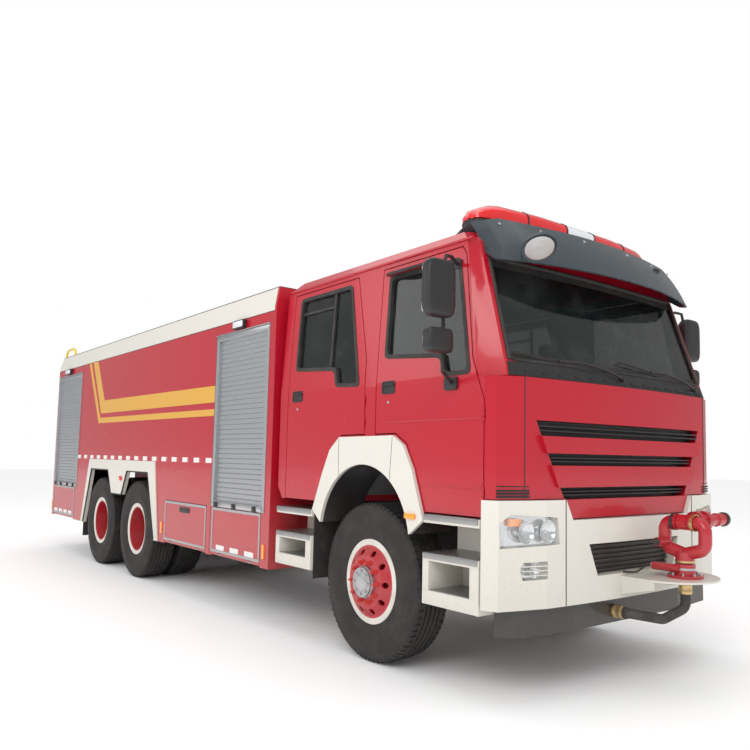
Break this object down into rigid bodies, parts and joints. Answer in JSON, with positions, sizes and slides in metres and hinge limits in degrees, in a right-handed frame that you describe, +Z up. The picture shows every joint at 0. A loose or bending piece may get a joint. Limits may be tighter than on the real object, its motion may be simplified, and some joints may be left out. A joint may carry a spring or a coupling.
{
  "type": "fire rescue truck",
  "caption": "Red crew-cab fire rescue truck with gold stripes, roller shutters, drop-down flaps and a water monitor on the front bumper.",
  "frame": {"origin": "on the ground, below the middle of the truck's length and width", "axes": "+X forward along the truck, +Y to its left, +Z up"},
  "size_m": [10.34, 3.09, 3.2298],
  "materials": {
    "red_paint": "gloss",
    "white_paint": "gloss",
    "black_frame": "semi-gloss",
    "engine_paint": "matt",
    "tyre": "matt",
    "glass": "clear",
    "lamp_glass": "clear",
    "signal_lens": "gloss",
    "beacon_lens": "gloss",
    "black_plastic": "satin",
    "visor_plastic": "satin",
    "seat_fabric": "woven",
    "aluminium": "satin",
    "monitor_red": "gloss",
    "hose_rubber": "satin",
    "yellow_paint": "gloss"
  },
  "bodies": {
    "chassis": {"chassis_frame": "black_frame", "front_axle": "black_frame", "rear_axles": "black_frame", "engine_block": "engine_paint", "front_bumper": "white_paint", "headlamps": "lamp_glass", "signal_lamps": "signal_lens", "cab_shell": "red_paint", "front_panel": "red_paint", "grille": "black_plastic", "sun_visor": "visor_plastic", "light_bar": "beacon_lens", "wipers": "black_plastic", "windscreen": "glass", "dashboard": "black_plastic", "seats": "seat_fabric", "cab_fenders": "white_paint", "cab_steps": "white_paint", "monitor_platform": "white_paint", "monitor_hoses": "hose_rubber", "monitor_base": "monitor_red", "body_shell": "red_paint", "roof_deck": "white_paint", "rear_arches": "white_paint", "roller_shutters": "aluminium", "side_lockers": "aluminium", "ladder": "yellow_paint"},
    "monitor_turret": {"monitor_turret": "monitor_red"},
    "monitor_barrel": {"monitor_barrel": "monitor_red"},
    "tie_rod": {"tie_rod": "black_frame"},
    "front_left_knuckle": {"front_left_knuckle": "black_frame"},
    "front_right_knuckle": {"front_right_knuckle": "black_frame"},
    "front_left_wheel": {"front_left_tyre": "tyre", "front_left_rim": "white_paint"},
    "front_right_wheel": {"front_right_tyre": "tyre", "front_right_rim": "white_paint"},
    "mid_left_wheel": {"mid_left_tyre": "tyre", "mid_left_rim": "white_paint"},
    "mid_right_wheel": {"mid_right_tyre": "tyre", "mid_right_rim": "white_paint"},
    "rear_left_wheel": {"rear_left_tyre": "tyre", "rear_left_rim": "white_paint"},
    "rear_right_wheel": {"rear_right_tyre": "tyre", "rear_right_rim": "white_paint"},
    "front_left_door": {"front_left_door": "red_paint", "front_left_glass": "glass", "left_mirror": "black_plastic"},
    "front_right_door": {"front_right_door": "red_paint", "front_right_glass": "glass", "right_mirror": "black_plastic"},
    "rear_left_door": {"rear_left_door": "red_paint", "rear_left_glass": "glass"},
    "rear_right_door": {"rear_right_door": "red_paint", "rear_right_glass": "glass"},
    "front_left_flap": {"front_left_flap": "red_paint"},
    "front_right_flap": {"front_right_flap": "red_paint"},
    "mid_left_flap": {"mid_left_flap": "red_paint"},
    "mid_right_flap": {"mid_right_flap": "red_paint"},
    "rear_left_flap": {"rear_left_flap": "red_paint"},
    "rear_right_flap": {"rear_right_flap": "red_paint"}
  },
  "joints": [
    {"name": "front_left_steer", "type": "hinge", "parent": "chassis", "child": "front_left_knuckle", "pos_m": [3.22, 0.85, 0.5625], "axis": [0, 0, 1], "range_deg": [-35, 35]},
    {"name": "front_right_steer", "type": "hinge", "parent": "chassis", "child": "front_right_knuckle", "pos_m": [3.22, -0.85, 0.5625], "axis": [0, 0, 1], "range_deg": [-35, 35]},
    {"name": "tie_rod_swing", "type": "hinge", "parent": "front_left_knuckle", "child": "tie_rod", "pos_m": [3.03, 0.85, 0.4005], "axis": [0, 0, 1], "range_deg": [-35, 35]},
    {"name": "front_left_spin", "type": "hinge", "parent": "front_left_knuckle", "child": "front_left_wheel", "pos_m": [3.22, 1.011, 0.5625], "axis": [0, 1, 0], "continuous": true},
    {"name": "front_right_spin", "type": "hinge", "parent": "front_right_knuckle", "child": "front_right_wheel", "pos_m": [3.22, -1.011, 0.5625], "axis": [0, 1, 0], "continuous": true},
    {"name": "mid_left_spin", "type": "hinge", "parent": "chassis", "child": "mid_left_wheel", "pos_m": [-1.38, 0.915, 0.5625], "axis": [0, 1, 0], "continuous": true},
    {"name": "mid_right_spin", "type": "hinge", "parent": "chassis", "child": "mid_right_wheel", "pos_m": [-1.38, -0.915, 0.5625], "axis": [0, 1, 0], "continuous": true},
    {"name": "rear_left_spin", "type": "hinge", "parent": "chassis", "child": "rear_left_wheel", "pos_m": [-2.73, 0.915, 0.5625], "axis": [0, 1, 0], "continuous": true},
    {"name": "rear_right_spin", "type": "hinge", "parent": "chassis", "child": "rear_right_wheel", "pos_m": [-2.73, -0.915, 0.5625], "axis": [0, 1, 0], "continuous": true},
    {"name": "front_left_door_swing", "type": "hinge", "parent": "chassis", "child": "front_left_door", "pos_m": [4.439, 1.218, 1.8], "axis": [0, 0, -1], "range_deg": [0, 70]},
    {"name": "front_right_door_swing", "type": "hinge", "parent": "chassis", "child": "front_right_door", "pos_m": [4.439, -1.218, 1.8], "axis": [0, 0, 1], "range_deg": [0, 70]},
    {"name": "rear_left_door_swing", "type": "hinge", "parent": "chassis", "child": "rear_left_door", "pos_m": [3.208, 1.218, 1.8], "axis": [0, 0, -1], "range_deg": [0, 70]},
    {"name": "rear_right_door_swing", "type": "hinge", "parent": "chassis", "child": "rear_right_door", "pos_m": [3.208, -1.218, 1.8], "axis": [0, 0, 1], "range_deg": [0, 70]},
    {"name": "front_left_flap_drop", "type": "hinge", "parent": "chassis", "child": "front_left_flap", "pos_m": [1.2575, 1.244, 0.512], "axis": [-1, 0, 0], "range_deg": [0, 90]},
    {"name": "front_right_flap_drop", "type": "hinge", "parent": "chassis", "child": "front_right_flap", "pos_m": [1.2575, -1.244, 0.512], "axis": [1, 0, 0], "range_deg": [0, 90]},
    {"name": "mid_left_flap_drop", "type": "hinge", "parent": "chassis", "child": "mid_left_flap", "pos_m": [0.1, 1.244, 0.512], "axis": [-1, 0, 0], "range_deg": [0, 90]},
    {"name": "mid_right_flap_drop", "type": "hinge", "parent": "chassis", "child": "mid_right_flap", "pos_m": [0.1, -1.244, 0.512], "axis": [1, 0, 0], "range_deg": [0, 90]},
    {"name": "rear_left_flap_drop", "type": "hinge", "parent": "chassis", "child": "rear_left_flap", "pos_m": [-4.4675, 1.244, 0.512], "axis": [-1, 0, 0], "range_deg": [0, 90]},
    {"name": "rear_right_flap_drop", "type": "hinge", "parent": "chassis", "child": "rear_right_flap", "pos_m": [-4.4675, -1.244, 0.512], "axis": [1, 0, 0], "range_deg": [0, 90]},
    {"name": "monitor_turn", "type": "hinge", "parent": "chassis", "child": "monitor_turret", "pos_m": [4.97, 0.1, 0.8], "axis": [0, 0, 1], "range_deg": [-180, 0]},
    {"name": "monitor_tilt", "type": "hinge", "parent": "monitor_turret", "child": "monitor_barrel", "pos_m": [4.97, 0.1, 1.065], "axis": [1, 0, 0], "range_deg": [-15, 70]}
  ],
  "couplings": [
    {"joint": "front_right_steer", "follows": "front_left_steer", "ratio": 1},
    {"joint": "tie_rod_swing", "follows": "front_left_steer", "ratio": -1}
  ]
}
